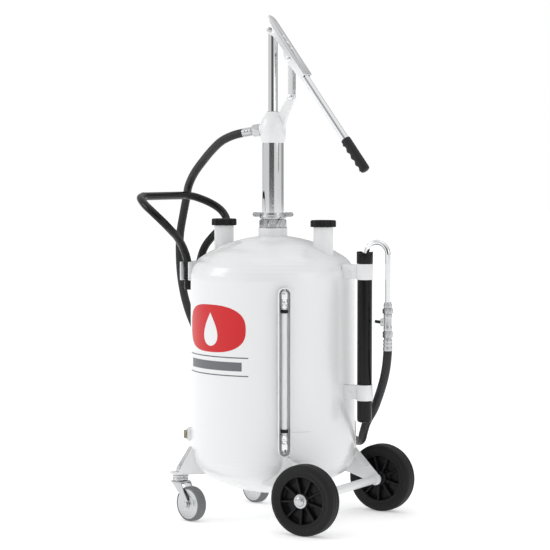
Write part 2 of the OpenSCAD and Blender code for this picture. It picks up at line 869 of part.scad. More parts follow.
module on_wheel(side) {
    translate([axle_x, side * wheel_y, axle_z]) rotate([90, 0, 0]) children();
}

module wheel_rim(side) {
    r = wheel_d / 2;
    half = wheel_w / 2;
    rim_r = r - 21;
    color(black) on_wheel(side) difference() {
        union() {
            rotate_extrude() polygon([
                [0, -half], [16.5, -half], [16.5, -4], [rim_r - 8, -4], [rim_r - 8, 1 - half], [rim_r, 1 - half],
                [rim_r, half - 1], [rim_r - 8, half - 1], [rim_r - 8, 4], [16.5, 4], [16.5, half], [0, half]
            ]);
            for (i = [0:8]) rotate([0, 0, 40 * i]) translate([15, -2, 4 - half]) cube([rim_r - 22, 4, wheel_w - 8]);
        }
        translate([0, 0, -half - 1]) cylinder(r = axle_d / 2 + slip, h = wheel_w + 2);
    }
}

module wheel_tyre(side) {
    r = wheel_d / 2;
    half = wheel_w / 2;
    color(rubber) on_wheel(side) rotate_extrude($fn = 96) polygon([
        [r - 21, 2 - half], [r - 10, -half], [r - 4, 2 - half], [r - 1, 5 - half], [r, 9 - half],
        [r, half - 9], [r - 1, half - 5], [r - 4, half - 2], [r - 10, half], [r - 21, half - 2]
    ]);
}

tank_shell();
pump_socket();
filler_neck(-1);  // filler_neck_rear
filler_neck(1);  // filler_neck_front
bung_nut();
wing_ring();
pump_tube();
pump_head();
rod_bush();
suction_tube();
foot_valve();
valve_ball();
piston_rod();
piston();
rod_pin();
lever_channel();
lever_tube();
lever_grip();
link();
link_pins();
outlet_hex();
hose_ferrule_pump();
hose();
hose_ferrule_gun();
gun_nut();
gun_body();
gun_trigger();
nozzle_nut();
nozzle_tube();
holder_tube();
holder_cap();
holder_bands();
gauge_guard();
gauge_tube();
gauge_fittings();
drain_boss();
drain_plug();
handle_tube();
handle_bracket();
handle_bolts();
filler_cap(-1);  // filler_cap_rear
filler_cap(1);  // filler_cap_front
caster_bracket(right);  // caster_bracket_right
caster_bracket(left);  // caster_bracket_left
caster_stems();
caster_fork(right, caster_turn_right);  // caster_fork_right
caster_fork(left, caster_turn_left);  // caster_fork_left
caster_hub(right, caster_turn_right);  // caster_hub_right
caster_hub(left, caster_turn_left);  // caster_hub_left
caster_tyre(right, caster_turn_right);  // caster_tyre_right
caster_tyre(left, caster_turn_left);  // caster_tyre_left
axle_bracket(right);  // axle_bracket_right
axle_bracket(left);  // axle_bracket_left
axle_tube();
axle_rod();
axle_caps();
wheel_rim(right);  // wheel_rim_right
wheel_rim(left);  // wheel_rim_left
wheel_tyre(right);  // wheel_tyre_right
wheel_tyre(left);  // wheel_tyre_left
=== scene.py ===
"""A wheeled gear oil dispenser: white tank, hand pump, hose, hooked nozzle, push handle and four wheels.

Lengths are in millimetres and become metres where a mesh is made. Z is up, +X points to the big wheels.
"""
import json
import math

import bmesh
import bpy
import numpy as np
from mathutils.geometry import tessellate_polygon
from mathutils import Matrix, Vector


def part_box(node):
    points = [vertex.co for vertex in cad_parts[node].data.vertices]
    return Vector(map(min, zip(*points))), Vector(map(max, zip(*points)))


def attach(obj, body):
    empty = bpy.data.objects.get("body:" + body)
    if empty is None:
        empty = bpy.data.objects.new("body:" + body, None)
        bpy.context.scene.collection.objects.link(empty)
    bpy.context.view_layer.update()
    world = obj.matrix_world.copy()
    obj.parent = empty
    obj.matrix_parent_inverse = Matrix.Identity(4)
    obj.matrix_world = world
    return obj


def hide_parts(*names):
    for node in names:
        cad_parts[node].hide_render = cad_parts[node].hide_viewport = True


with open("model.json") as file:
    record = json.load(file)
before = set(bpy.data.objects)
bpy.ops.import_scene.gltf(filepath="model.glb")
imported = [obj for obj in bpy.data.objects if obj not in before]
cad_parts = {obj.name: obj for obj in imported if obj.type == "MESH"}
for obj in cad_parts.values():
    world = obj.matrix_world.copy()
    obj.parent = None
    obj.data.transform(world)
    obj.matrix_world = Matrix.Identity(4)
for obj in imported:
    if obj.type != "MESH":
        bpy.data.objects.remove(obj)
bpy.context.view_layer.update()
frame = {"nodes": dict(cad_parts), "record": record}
MM = 0.001
TAU = 2 * math.pi
UP = np.array([0.0, 0.0, 1.0])
SIDEWAYS = np.array([0.0, 1.0, 0.0])
SQUARE = np.array([[1.0, 1.0], [-1.0, 1.0], [-1.0, -1.0], [1.0, -1.0]])
NO_BORE = 0.01


def box_mm(node):
    """Lowest and highest corner of a CAD node, in millimetres."""
    low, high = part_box(node)
    return np.array(low) / MM, np.array(high) / MM


def middle_mm(node):
    """The middle between a CAD node's lowest and highest corner, in millimetres."""
    low, high = box_mm(node)
    return (low + high) / 2


# ---------------------------------------------------------------- camera
def make_camera():
    """A long lens at the pusher's right front, a little above the tank's middle, looking slightly down."""
    lens = bpy.data.cameras.new("studio_camera")
    lens.lens = 128.8
    lens.sensor_width = 36.0
    camera = bpy.data.objects.new("studio_camera", lens)
    camera.location = (2.3221, -3.9580, 0.8241)
    camera.rotation_euler = (math.radians(90 - 3.222), 0, math.radians(30.34))
    bpy.context.scene.collection.objects.link(camera)
    bpy.context.scene.camera = camera


make_camera()


# ---------------------------------------------------------------- shapes
def arr(*rows):
    """Numbers or rows of numbers as an array of floats."""
    return np.array(rows, float)


def unit(v):
    """Vectors divided by their own lengths."""
    v = np.asarray(v, float)
    return v / np.linalg.norm(v, axis=-1, keepdims=True)


def across(axis):
    """Two unit vectors square to an axis and to each other."""
    axis = unit(axis)
    helper = arr(0, 0, 1) if abs(axis[2]) < 0.9 else arr(1, 0, 0)
    first = unit(np.cross(helper, axis))
    return first, np.cross(axis, first)


def soften(points, radius, steps=5):
    """Each inner corner of a line becomes a parabola that starts and ends a radius away from the corner."""
    p = np.asarray(points, float)
    t = np.linspace(0, 1, steps + 1)[:, None]
    out = [p[:1]]
    for a, b, c in zip(p[:-2], p[1:-1], p[2:]):
        before = min(radius, np.linalg.norm(a - b) * 0.49)
        after = min(radius, np.linalg.norm(c - b) * 0.49)
        s = b + unit(a - b) * before
        e = b + unit(c - b) * after
        out.append((1 - t) ** 2 * s + 2 * t * (1 - t) * b + t ** 2 * e)
    out.append(p[-1:])
    return np.concatenate(out)


def soften_loop(points, radius, steps=4):
    """The same on a closed outline, so its first corner is rounded too."""
    p = np.asarray(points, float)
    middle = (p[0] + p[-1]) / 2
    return soften(np.concatenate([[middle], p, [middle]]), radius, steps)[:-1]


def smooth(points, steps):
    """A Catmull-Rom curve through the points, with a number of steps between each pair."""
    p = np.asarray(points, float)
    q = np.concatenate([p[:1], p, p[-1:]])
    t = np.linspace(0, 1, steps, endpoint=False)[None, :, None]
    a, b, c, d = (q[k:k + len(p) - 1][:, None, :] for k in range(4))
    line = 0.5 * (2 * b + (c - a) * t + (2 * a - 5 * b + 4 * c - d) * t ** 2
                  + (3 * b - a - 3 * c + d) * t ** 3)
    return np.concatenate([line.reshape(-1, p.shape[1]), p[-1:]])


def grid(points, wrap_u=False, wrap_v=True):
    """Vertices and quads of a surface given as rows of points; either direction can close on itself."""
    n, m = points.shape[:2]
    index = np.arange(n * m).reshape(n, m)
    if wrap_u:
        index = np.vstack([index, index[:1]])
    if wrap_v:
        index = np.hstack([index, index[:, :1]])
    quads = np.stack([index[:-1, :-1], index[:-1, 1:], index[1:, 1:], index[1:, :-1]], -1)
    return points.reshape(-1, 3), quads.reshape(-1, 4)


def lathe(profile, centre, axis, segments=96, closed=True):
    """A profile of (radius, distance along the axis) turned round the axis; a closed profile is a ring."""
    first, second = across(axis)
    angle = np.linspace(0, TAU, segments, endpoint=False)[None, :, None]
    profile = np.asarray(profile, float)
    radius = profile[:, 0][:, None, None]
    along = profile[:, 1][:, None, None]
    around = np.cos(angle) * first + np.sin(angle) * second
    points = np.asarray(centre, float) + along * unit(axis) + radius * around
    return grid(points, wrap_u=closed)


def frames(path, side):
    """A side vector carried along a path without twisting, and the one square to it and to the path."""
    ahead = unit(np.gradient(np.asarray(path, float), axis=0))
    sides = [unit(side - ahead[0] * np.dot(side, ahead[0]))]
    for d in ahead[1:]:
        sides.append(unit(sides[-1] - d * np.dot(sides[-1], d)))
    sides = np.array(sides)
    return sides, np.cross(ahead, sides)


def circle(segments):
    """A circle of radius one: the cosine and the sine of evenly spaced angles."""
    angle = np.linspace(0, TAU, segments, endpoint=False)
    return np.stack([np.cos(angle), np.sin(angle)], -1)


def sweep(path, scale, section, side=(0, 1, 0)):
    """A section of (side, up) points times a scale for each step, carried along the path.

    Both of its ends close to a point."""
    path = np.asarray(path, float)
    scale = np.asarray(scale, float)
    scale = np.broadcast_to(scale.reshape(-1, 1) if scale.ndim < 2 else scale, (len(path), 2))
    sides, ups = frames(path, side)
    x = (section[None, :, 0] * scale[:, :1])[..., None]
    y = (section[None, :, 1] * scale[:, 1:])[..., None]
    points = path[:, None, :] + x * sides[:, None, :] + y * ups[:, None, :]
    first = np.repeat(path[:1, None], len(section), 1)
    last = np.repeat(path[-1:, None], len(section), 1)
    return grid(np.concatenate([first, points, last]))


def block(low, high, edge=0.8):
    """A box with rounded edges: a rounded rectangle whose top and bottom step in by the edge."""
    low, high = np.asarray(low, float), np.asarray(high, float)
    half, middle = (high - low) / 2, (high + low) / 2
    outline = soften_loop(SQUARE * half[:2], edge * 1.5, 3)
    rise = arr(-half[2], -half[2], edge - half[2], half[2] - edge, half[2], half[2])
    inset = 1 - np.array([[1, 1]] + [edge / half[:2]] + [[0, 0]] * 2 + [edge / half[:2]] + [[1, 1]])
    flat = outline[None] * inset[:, None]
    up = np.broadcast_to(rise[:, None, None], (*flat.shape[:2], 1))
    return grid(middle + np.concatenate([flat, up], -1))


def sheet(outline, low, high, place, holes=(), edge=0.6):
    """A flat plate: outline and holes are loops in a plane; its edges are quarter rounds on both faces."""

    def raised(flat, rise):
        """Points of the plane lifted off it by a rise, and put in their place."""
        return place(np.column_stack([flat, np.full(len(flat), rise)]))

    turn = np.linspace(0, math.pi / 2, 4)
    step = [(edge * (1 - math.sin(t)), edge * (1 - math.cos(t))) for t in turn]
    levels = [(inset, low + rise) for inset, rise in step]
    levels += [(inset, high - rise) for inset, rise in step[::-1]]
    shapes, rims = [], []
    for k, loop in enumerate([outline, *holes]):
        loop = np.asarray(loop, float)
        following = np.roll(loop, -1, 0)
        area = np.sum(loop[:, 0] * following[:, 1] - following[:, 0] * loop[:, 1])
        loop = loop if (area > 0) == (k == 0) else loop[::-1]
        ahead = unit(np.roll(loop, -1, 0) - np.roll(loop, 1, 0))
        inward = np.stack([-ahead[:, 1], ahead[:, 0]], -1)
        shapes.append(grid(np.array([raised(loop + inset * inward, rise) for inset, rise in levels])))
        rims.append(loop + edge * inward)
    faces = np.array(tessellate_polygon([[(*point, 0) for point in rim] for rim in rims]))
    flat = np.concatenate(rims)
    return shapes + [(raised(flat, rise), faces) for rise in (low, high)]


def six_sided(across_corners, bore, low, high, centre, axis, chamfer=1.2, turn=0.0):
    """A nut: the radius is that of a hexagon, cut at both ends by a cone that rounds its corners."""
    first, second = across(axis)
    angle = np.linspace(0, TAU, 144, endpoint=False)
    flat = across_corners / 2 * math.cos(math.pi / 6)
    hexagon = flat / np.cos((angle + turn) % (TAU / 6) - TAU / 12)
    rise = arr(low, low, low + chamfer * 0.5, low + chamfer, high - chamfer, high - chamfer * 0.5, high, high)
    limit = arr(bore, flat * 0.96, flat * 1.05, flat * 1.2, flat * 1.2, flat * 1.05, flat * 0.96, bore)
    radius = np.minimum(hexagon[None], limit[:, None])
    radius[[0, -1]] = bore
    around = np.cos(angle)[:, None] * first + np.sin(angle)[:, None] * second
    points = np.asarray(centre, float) + rise[:, None, None] * unit(axis) + radius[..., None] * around[None]
    return grid(points, wrap_u=bore > 0)


def turned(shape, axis_point, axis, angle):
    """A shape turned about a line by an angle in radians (Rodrigues' formula)."""
    points, quads = shape
    k = unit(axis)
    p = points - axis_point
    spun = p * math.cos(angle) + np.cross(k, p) * math.sin(angle)
    spun = spun + k * (p @ k)[:, None] * (1 - math.cos(angle))
    return spun + axis_point, quads


def mirrored(shape):
    """A shape on the other side of the centreline."""
    points, quads = shape
    return points * (1, -1, 1), quads[:, ::-1]


def piece(name, shapes, body, slot, replaces=(), material=None):
    """One mesh out of several shapes: doubles merged, faces turned outwards, then tied to its body.

    It has its slot's finish unless another material is given."""
    shapes = shapes if isinstance(shapes, list) else [shapes]
    start = np.cumsum([0] + [len(s[0]) for s in shapes[:-1]])
    points = np.concatenate([s[0] for s in shapes]) * MM
    faces = [face for s, k in zip(shapes, start) for face in (s[1] + k).tolist()]
    mesh = bpy.data.meshes.new(name)
    mesh.from_pydata(points.tolist(), [], faces)
    edit = bmesh.new()
    edit.from_mesh(mesh)
    bmesh.ops.remove_doubles(edit, verts=edit.verts, dist=1e-6)
    bmesh.ops.dissolve_degenerate(edit, edges=edit.edges, dist=1e-7)
    bmesh.ops.recalc_face_normals(edit, faces=edit.faces)
    edit.to_mesh(mesh)
    edit.free()
    mesh.shade_smooth()
    mesh.set_sharp_from_angle(angle=math.radians(38))
    mesh.materials.append(material or FINISH[slot])
    made = bpy.data.objects.new(name, mesh)
    bpy.context.scene.collection.objects.link(made)
    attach(made, body)
    if replaces:
        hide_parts(*replaces)
    return made


# ---------------------------------------------------------------- materials
def finish_of(name, colour, rough, metal=0.0, stretch=(1, 1, 1), grain=300.0, depth=0.05, spread=0.06,
              tint=0.04, cloud=9.0, coat=0.0, coat_rough=0.08, shine=0.5):
    """Fine stretched noise lifts the surface and varies its roughness; large soft noise shifts its colour."""
    made = bpy.data.materials.new(name)
    made.use_nodes = True
    nodes, links = made.node_tree.nodes, made.node_tree.links
    shader = nodes["Principled BSDF"]
    shader.inputs["Metallic"].default_value = metal
    shader.inputs["Coat Weight"].default_value = coat
    shader.inputs["Coat Roughness"].default_value = coat_rough
    shader.inputs["Specular IOR Level"].default_value = shine
    place = nodes.new("ShaderNodeTexCoord")
    mapping = nodes.new("ShaderNodeMapping")
    mapping.inputs["Scale"].default_value = stretch
    links.new(place.outputs["Object"], mapping.inputs["Vector"])
    fine = nodes.new("ShaderNodeTexNoise")
    fine.inputs["Scale"].default_value = grain
    fine.inputs["Detail"].default_value = 3.0
    links.new(mapping.outputs["Vector"], fine.inputs["Vector"])
    soft = nodes.new("ShaderNodeTexNoise")
    soft.inputs["Scale"].default_value = cloud
    links.new(place.outputs["Object"], soft.inputs["Vector"])
    level = nodes.new("ShaderNodeMapRange")
    level.inputs["To Min"].default_value = max(rough - spread, 0.02)
    level.inputs["To Max"].default_value = rough + spread
    links.new(fine.outputs["Fac"], level.inputs["Value"])
    links.new(level.outputs["Result"], shader.inputs["Roughness"])
    blend = nodes.new("ShaderNodeMix")
    blend.data_type = "RGBA"
    colour = np.array(colour)
    blend.inputs["A"].default_value = (*np.clip(colour * (1 - tint), 0, 1), 1)
    blend.inputs["B"].default_value = (*np.clip(colour * (1 + tint), 0, 1), 1)
    links.new(soft.outputs["Fac"], blend.inputs["Factor"])
    links.new(blend.outputs["Result"], shader.inputs["Base Color"])
    bump = nodes.new("ShaderNodeBump")
    bump.inputs["Strength"].default_value = depth
    bump.inputs["Distance"].default_value = 0.0006
    links.new(fine.outputs["Fac"], bump.inputs["Height"])
    links.new(bump.outputs["Normal"], shader.inputs["Normal"])
    return made


def clear_plastic():
    """A hazy sight tube: mostly scattered light, with a little transmitted."""
    made = finish_of("clear_sight_tube", (0.95, 0.965, 0.97), 0.2, grain=60, depth=0.002, spread=0.04)
    shader = made.node_tree.nodes["Principled BSDF"]
    shader.inputs["Transmission Weight"].default_value = 0.2
    shader.inputs["IOR"].default_value = 1.45
    return made


FINISH = {
    "white_enamel": finish_of("white_enamel", (0.83, 0.835, 0.84), 0.28, grain=500, depth=0.002, spread=0.02,
                              tint=0.008, coat=0.5, coat_rough=0.12),
    "zinc_plate": finish_of("zinc_plate", (0.55, 0.56, 0.57), 0.27, metal=1.0, stretch=(1, 1, 0.3), grain=600,
                            depth=0.003, spread=0.04, tint=0.05, cloud=30),
    "chrome_plate": finish_of("chrome_plate", (0.78, 0.79, 0.80), 0.07, metal=1.0, stretch=(1, 1, 0.05),
                              grain=500, depth=0.01, spread=0.03, tint=0.02),
    "brass_turned": finish_of("brass_turned", (0.38, 0.34, 0.27), 0.32, metal=1.0, stretch=(0.2, 0.2, 3),
                              grain=300, depth=0.01, spread=0.06),
    "grip_rubber": finish_of("grip_rubber", (0.018, 0.018, 0.020), 0.55, grain=500, depth=0.14, spread=0.08,
                             shine=0.28),
    "hose_rubber": finish_of("hose_rubber", (0.020, 0.020, 0.022), 0.46, grain=380, depth=0.10, spread=0.07,
                             shine=0.3),
    "black_plastic": finish_of("black_plastic", (0.008, 0.008, 0.009), 0.38, grain=420, depth=0.08,
                               spread=0.07, shine=0.22),
    "black_enamel": finish_of("black_enamel", (0.005, 0.005, 0.006), 0.22, grain=160, depth=0.02, spread=0.04,
                              shine=0.25),
    "clear_tube": clear_plastic(),
    "caster_tread": finish_of("caster_tread", (0.17, 0.175, 0.18), 0.55, grain=300, depth=0.10, spread=0.08,
                              shine=0.3),
    "tyre_rubber": finish_of("tyre_rubber", (0.011, 0.011, 0.012), 0.58, grain=350, depth=0.16, spread=0.08,
                             shine=0.25),
}
# A lighter, glossier copy of the zinc finish for the lever and the link: painted highlight, the bright
# reflection of the ceiling laid into the colour of the same zinc plate.
zinc_painted_highlight = finish_of("zinc_painted_highlight", (0.84, 0.85, 0.86), 0.20, metal=1.0, stretch=(1, 1, 0.3), grain=600,
                        depth=0.003, spread=0.03, tint=0.03, cloud=30)
red_print = finish_of("red_print", (0.62, 0.016, 0.020), 0.34, grain=300, depth=0.002, tint=0.03, shine=0.35)
grey_print = finish_of("grey_print", (0.15, 0.155, 0.17), 0.36, grain=300, depth=0.002, shine=0.35)

SLOT = {s["node"]: s["material_slot"] for s in frame["record"]["subparts"]}
for node, shown in frame["nodes"].items():
    shown.data.materials.clear()
    # The lever tube takes the zinc copy with the painted highlight.
    shown.data.materials.append(zinc_painted_highlight if node == "lever_tube" else FINISH[SLOT[node]])


# ---------------------------------------------------------------- hose
HOSE_D = 20.0
HOSE_ROUTE = [
    [-80, 0, 898], [-110, 3, 892], [-146, 12, 880], [-184, 32, 861], [-228, 60, 835],
    [-270, 84, 804], [-304, 110, 773], [-324, 130, 742], [-338, 137, 700], [-347, 137, 655],
    [-350, 138, 610], [-350, 142, 560], [-351, 152, 523], [-352, 168, 484], [-350, 190, 440],
    [-338, 216, 385], [-312, 240, 325], [-268, 260, 268], [-205, 275, 222], [-130, 282, 195],
    [-45, 278, 178], [35, 260, 167], [92, 224, 161], [132, 181, 163], [163, 138, 176],
    [187, 100, 196], [209, 75, 226], [240, 50, 260], [263, 31, 295], [282, 15, 329],
    [293, 6, 357], [299, 1, 382], [301, 0, 402],
]
OUTLET_DROP = math.radians(8)
OUTLET = arr(0, 0, 909)
LINK_END_R = 6.5
HOSE_START = 51
HOSE_END_Z = 432


def make_hose():
    """The route as a smooth curve with a round section; its length is the sum of the curve's steps."""
    path = smooth(HOSE_ROUTE, 8)
    hose = piece("hose", sweep(path, HOSE_D / 2, circle(28)), "trolley", "hose_rubber", ["hose"])
    length = np.linalg.norm(np.diff(path, axis=0), axis=1).sum()
    return hose, path * MM, length * MM


def ferrule(start, axis):
    """A crimped sleeve: a collar, three pressed grooves and a rolled mouth."""
    profile = [[4, 0], [8.4, 0], [8.4, 3.6], [10.6, 5.2], [10.6, 9], [9.7, 10], [9.7, 12], [10.6, 13],
               [10.6, 17], [9.7, 18], [9.7, 20], [10.6, 21], [10.6, 28], [10.2, 29.8], [9.2, 30], [4, 29]]
    return lathe(soften(profile, 0.7, 3), start, axis, 72)


outlet_axis = arr(-math.cos(OUTLET_DROP), 0, -math.sin(OUTLET_DROP))
gun_x = middle_mm("gun_nut")[0]
hose, hose_path, hose_length = make_hose()
pump_sleeve = ferrule(OUTLET + HOSE_START * outlet_axis, outlet_axis)
gun_sleeve = ferrule(arr(gun_x, 0, HOSE_END_Z), -UP)
ferrule_pump = piece("hose_ferrule_pump", pump_sleeve, "trolley", "zinc_plate", ["hose_ferrule_pump"])
ferrule_gun = piece("hose_ferrule_gun", gun_sleeve, "trolley", "zinc_plate", ["hose_ferrule_gun"])


# ---------------------------------------------------------------- pump
PUMP_TUBE_R = 25.2


def outlet_nut():
    """The hexagon that screws the hose's first sleeve to the outlet."""
    nut = six_sided(32, 5, 32, HOSE_START, OUTLET, outlet_axis, 2.0)
    piece("outlet_hex", nut, "trolley", "zinc_plate", ["outlet_hex"])


def pump_head():
    """A casting: a bulged barrel under a long neck, an outlet boss, and an arm ending in the link's eye."""
    profile = soften([[0, 874], [26.2, 873], [27.6, 877], [29.3, 892], [29.6, 915], [25, 930], [16, 942],
                      [13.6, 947], [0, 947]], 9, 6)
    barrel = lathe(profile, [0, 0, 0], UP, 120, False)
    profile = soften([[0, 0], [19, 16], [14.5, 24], [14, 32], [0, 32]], 2.5, 4)
    boss = lathe(profile, OUTLET, outlet_axis, 72, False)
    lug = arr(middle_mm("link")[0], 0, box_mm("link")[0][2] + LINK_END_R)
    path = smooth([[14, 0, 902], [19, 0, 920], [30, 0, 943], [41, 0, 962], lug], 6)
    along = np.linspace(0, 1, len(path))
    width = np.stack([8.4 + 9 * (1 - along) ** 3, 16.5 - 8.2 * along ** 0.8], -1)
    thick = np.stack([width[:, 0] / 2, width[:, 1]], -1)
    arm = sweep(path, thick, soften_loop(SQUARE, 0.25, 3))
    ring = soften_loop([[4.1, -4.2], [9.2, -4.2], [9.2, 4.2], [4.1, 4.2]], 1.2, 3)
    eye = lathe(ring, lug, SIDEWAYS, 64)
    piece("pump_head", [barrel, boss, arm, eye], "trolley", "white_enamel", ["pump_head"])


def bung():
    """A large hexagon with a washer under it and a small grub screw in one flat."""
    top = box_mm("bung_nut")[1][2]
    seat = box_mm("pump_socket")[1][2]
    nut = six_sided(63.5, PUMP_TUBE_R, seat, top, [0, 0, 0], UP, 2.2)
    low, high = seat - 1, seat + 1.4
    washer = soften([[PUMP_TUBE_R, low], [33.2, low], [33.2, high], [PUMP_TUBE_R, high]], 0.6, 3)
    turn = math.radians(-60)
    spot = arr(math.cos(turn), math.sin(turn), 0)
    end = soften([[0, 26], [4.2, 26], [4.2, 29.2], [3.2, 30.4], [0, 30.4]], 0.8, 3)
    screw = lathe(end, [0, 0, seat + 12], spot, 32, False)
    shapes = [nut, lathe(washer, [0, 0, 0], UP, 96), screw]
    piece("bung_nut", shapes, "trolley", "zinc_plate", ["bung_nut"])


def wing_ring():
    """A stepped clamp ring with two flat ears, each with a rolled eye at its tip."""
    z = box_mm("wing_ring")[0][2]
    step = soften_loop([[PUMP_TUBE_R, 0], [31, 0], [31, 6], [28.6, 8], [28.6, 14], [PUMP_TUBE_R, 14]], 1.1, 3)
    ear = block([28, -2.2, z + 4], [45, 2.2, z + 15], 1.0)
    roll = soften_loop([[2.4, -2.6], [5.6, -2.6], [5.6, 2.6], [2.4, 2.6]], 0.8, 3)
    eye = lathe(roll, [42.5, 0, z + 9.5], SIDEWAYS, 40)
    shapes = [lathe(step, [0, 0, z], UP, 96)]
    for turn in (math.radians(30), math.radians(210)):
        shapes += [turned(ear, arr(0, 0, 0), UP, turn), turned(eye, arr(0, 0, 0), UP, turn)]
    piece("wing_ring", shapes, "trolley", "zinc_plate", ["wing_ring"])


outlet_nut()
pump_head()
bung()
wing_ring()

# ---------------------------------------------------------------- lever
PIVOT = arr(0, 0, 1135)
LEVER_DROP = math.radians(53.5)
lever_u = arr(math.cos(LEVER_DROP), 0, -math.sin(LEVER_DROP))
lever_v = arr(math.sin(LEVER_DROP), 0, math.cos(LEVER_DROP))


def lever_grip():
    """A moulded grip: its under side dips four times for the fingers; it has a collar and a round end."""
    start, end = 316, 408
    u = np.linspace(start, end, 90)
    t = (u - start) / (end - start)
    base = 11.5 * np.sqrt(np.clip(1 - ((t - 0.5) / 0.5) ** 24, 0, 1)) + 0.01
    base = base + 1.2 * np.exp(-((t - 0.02) / 0.025) ** 2)
    dips = np.where((t > 0.12) & (t < 0.92), 1.9 * np.cos(TAU * 4 * (t - 0.12) / 0.8), 0)
    angle = np.linspace(0, TAU, 48, endpoint=False)
    under = np.clip(-np.sin(angle), 0, 1) ** 2
    radius = base[:, None] + dips[:, None] * under[None]
    radius = np.minimum(radius, base[:, None] + 1.6) * np.where(base[:, None] < 1, 0.05, 1)
    middle = PIVOT + u[:, None] * lever_u + 2.6 * lever_v
    side = radius * np.cos(angle)
    up = radius * np.sin(angle)
    points = middle[:, None] + side[..., None] * SIDEWAYS + up[..., None] * lever_v
    points = np.concatenate([np.repeat(points[:1].mean(1, keepdims=True), 48, 1), points,
                             np.repeat(points[-1:].mean(1, keepdims=True), 48, 1)])
    piece("lever_grip", grid(points), "lever", "grip_rubber", ["lever_grip"])


def on_lever(q):
    """Points given as (along the lever, across it, square to it) in the shared frame."""
    return PIVOT + q[:, :1] * lever_u + q[:, 1:2] * SIDEWAYS + q[:, 2:] * lever_v


def lever_channel():
    """A folded sheet: a web with three holes and a round nose, two shaped flanges, and a rivet in each."""
    nose = np.linspace(math.pi / 2, 3 * math.pi / 2, 33)
    web = np.concatenate([np.stack([-16 + 17 * np.cos(nose), 17 * np.sin(nose)], -1),
                          soften([[-10, -17], [141, -17], [141, 17], [-10, 17]], 3, 4)])
    holes = [3.2 * circle(32) + (29 + 17.5 * k, 0) for k in range(3)]
    flange = soften_loop([[-16, 13.4], [-14, 2], [-8, -7], [8, -7], [20, 0], [62, 0], [74, -7], [98, -7],
                          [141, -4], [141, 13.4]], 5, 4)
    shapes = sheet(web, 11.5, 14, on_lever, holes, 1.1)
    for way in (-1, 1):
        shapes += sheet(flange, 14.5, 17, lambda q: on_lever(q[:, [0, 2, 1]] * (1, way, 1)), edge=0.5)
        head = soften([[0, 7.5], [4, 7.5], [4, 17], [6.5, 17], [6.3, 18.2], [4, 19.3], [0, 19.5]], 0.5, 3)
        shapes.append(lathe(head, PIVOT + 85 * lever_u, [0, way, 0], 48, False))
    # The channel takes the zinc copy with the painted highlight.
    piece("lever_channel", shapes, "lever", "zinc_plate", ["lever_channel"], zinc_painted_highlight)


def link():
    """Two cheeks with round ends joined by a web, and the pins through both ends."""
    low, high = box_mm("link")
    r = LINK_END_R
    x, z0, z1 = middle_mm("link")[0], low[2] + r, high[2] - r
    a = np.linspace(0, math.pi, 21)
    cheek = np.concatenate([np.stack([x + r * np.cos(a), z1 + r * np.sin(a)], -1),
                            np.stack([x - r * np.cos(a), z0 - r * np.sin(a)], -1)])
    shapes = [block([x + 4, -7, z0 + 15], [x + r, 7, z1 - 15], 0.7)]
    for way in (-1, 1):
        shapes += sheet(cheek, 4.6, 7.1, lambda q: q[:, [0, 2, 1]] * (1, way, 1), edge=0.6)
    # The link and its pins take the zinc copy with the painted highlight.
    piece("link", shapes, "link", "zinc_plate", ["link"], zinc_painted_highlight)
    head = soften([[0, 0], [4, 0], [4, 7.1], [6.5, 7.1], [6.3, 8.4], [4, 9.4], [0, 9.6]], 0.5, 3)
    pins = [lathe(head, [x, 0, z0], [0, way, 0], 48, False) for way in (-1, 1)]
    pins.append(lathe([[0, -7.1], [4, -7.1], [4, 7.1], [0, 7.1]], [x, 0, z1], [0, 1, 0], 48, False))
    piece("link_pins", pins, "link", "zinc_plate", ["link_pins"], zinc_painted_highlight)


def rod_pin():
    """A pin through the rod's eye with a domed head at each end."""
    end = box_mm("rod_pin")[1][1]
    half = soften([[0, 0], [4, 0], [4, end - 2.8], [6.5, end - 2.6], [6.3, end - 1.4], [4, end - 0.3],
                   [0, end]], 0.5, 3)
    heads = [lathe(half, PIVOT, [0, way, 0], 48, False) for way in (-1, 1)]
    piece("rod_pin", heads, "rod", "zinc_plate", ["rod_pin"])


lever_grip()
lever_channel()
rod_pin()
link()


# ---------------------------------------------------------------- filler caps
def filler_cap(side):
    """A moulded cap: its edge has twelve finger flutes, its top a raised rim round a shallow dish."""
    name = f"filler_cap_{side}"
    low, high = box_mm(name)
    centre = middle_mm(name)
    z0, z1 = low[2], high[2]
    steps, flutes = 288, 12
    angle = np.linspace(0, TAU, steps, endpoint=False)
    flute = 2.6 * np.clip(np.cos(flutes * angle) - 0.15, 0, 1) ** 0.7
    rows = soften([[23.2, z1 - 4], [23.2, z0], [29.2, z0], [29.8, z0 + 1.5], [29.8, z1 - 2.4], [27.6, z1],
                   [23, z1], [21.5, z1 - 1.4], [4, z1 - 1.4], [0, z1 - 1.4]], 0.9, 4)
    share = np.clip((rows[:, 0] - 24.5) / 4.0, 0, 1)
    radius = rows[:, :1] - share[:, None] * flute[None]
    x = centre[0] + radius * np.cos(angle)
    y = centre[1] + radius * np.sin(angle)
    z = np.broadcast_to(rows[:, 1:], x.shape)
    points = np.stack([x, y, z], -1)
    ceiling = np.broadcast_to(arr(centre[0], centre[1], z1 - 4), (1, steps, 3))
    piece(name, grid(np.concatenate([ceiling, points])), f"cap_{side}", "black_plastic", [name])


